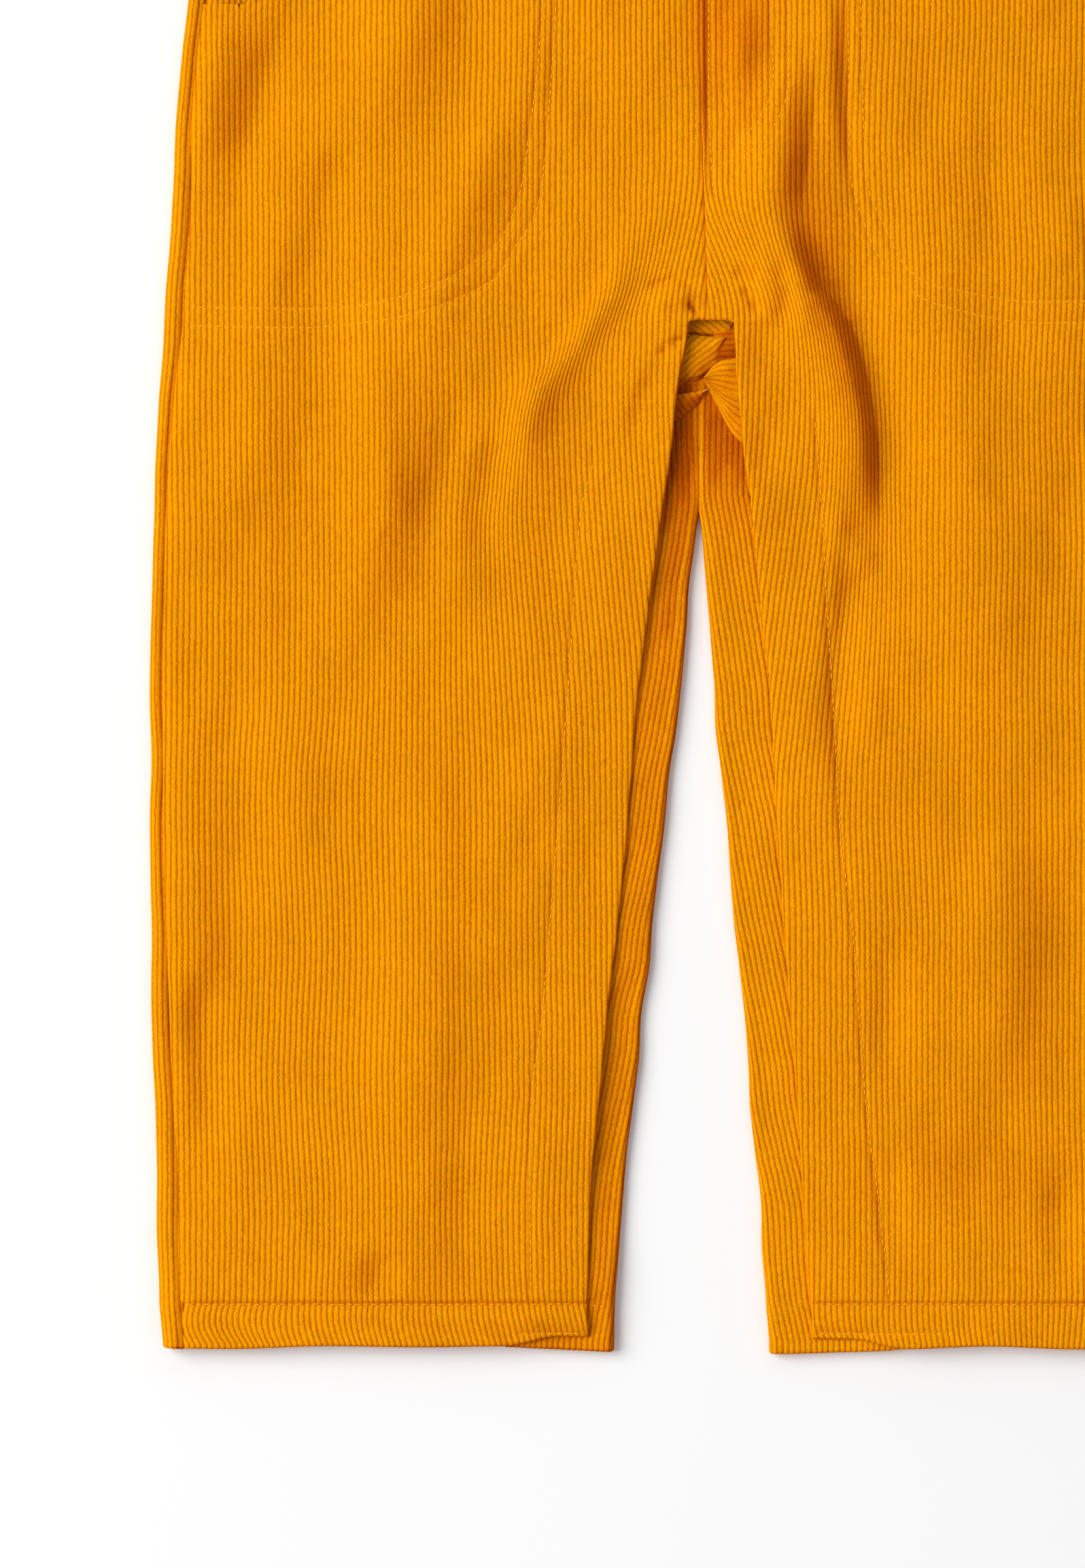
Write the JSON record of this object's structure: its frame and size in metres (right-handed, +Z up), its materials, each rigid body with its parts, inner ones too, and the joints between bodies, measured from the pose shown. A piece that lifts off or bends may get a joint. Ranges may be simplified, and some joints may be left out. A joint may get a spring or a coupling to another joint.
{
  "type": "kids corduroy dungarees, laid flat",
  "caption": "Child's long corduroy dungarees laid flat on their back, with mock fly, scoop pockets, buttoned bib and straps, and lapped inside-leg seams.",
  "frame": {"origin": "middle of the garment's outline, on the surface that it lies on", "axes": "+Y from the hems to the shoulders, +X to the right seen from above, +Z up out of the front"},
  "size_m": [0.394, 0.7918, 0.012],
  "materials": {
    "corduroy": "golden mustard cotton corduroy, ribs about 2 mm apart, brushed pile with a soft sheen",
    "resin": "brown four-hole resin buttons, satin"
  },
  "bodies": {
    "root": {"back_left": "corduroy", "back_right": "corduroy", "front_left": "corduroy", "front_right": "corduroy", "pocket_side_left": "corduroy", "pocket_side_right": "corduroy", "bib_back": "corduroy", "bib_front": "corduroy", "strap_left": "corduroy", "strap_right": "corduroy", "button_left": "resin", "button_right": "resin"}
  },
  "joints": []
}
